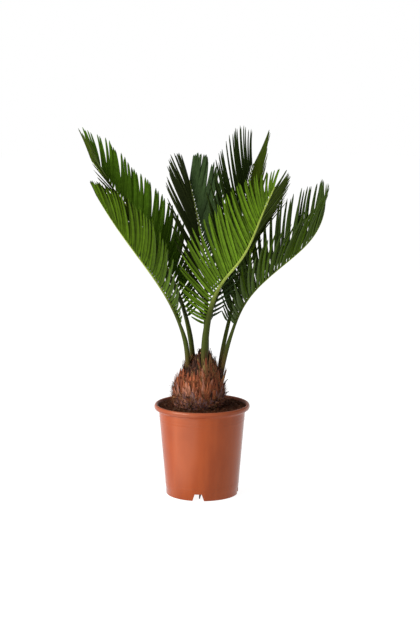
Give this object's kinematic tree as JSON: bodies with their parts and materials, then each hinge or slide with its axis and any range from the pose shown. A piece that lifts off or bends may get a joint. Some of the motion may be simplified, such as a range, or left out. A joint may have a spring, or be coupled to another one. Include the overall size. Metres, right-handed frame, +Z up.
{
  "type": "potted sago palm",
  "caption": "Young sago palm: a squat shaggy trunk with an open crown of stiff, arching feather fronds, growing in a round tapered nursery pot.",
  "frame": {"origin": "middle of the flat underside of the pot's hub, on the ground", "axes": "+Z up; seen from the front +X is to the right and +Y is away from the viewer"},
  "size_m": [0.4909, 0.3709, 0.7263],
  "materials": {
    "pot": "satin moulded terracotta-coloured plastic",
    "soil": "rough dark potting compost",
    "trunk": "rough overlapping old leaf bases with brown wool",
    "frond": "leathery satin green leaflets on a yellow-green rib"
  },
  "bodies": {
    "root": {"pot": "pot", "soil": "soil", "trunk": "trunk", "frond_right_front": "frond", "frond_left_front": "frond", "frond_right": "frond", "frond_left_back": "frond", "frond_back_right": "frond", "frond_back": "frond"}
  },
  "joints": []
}
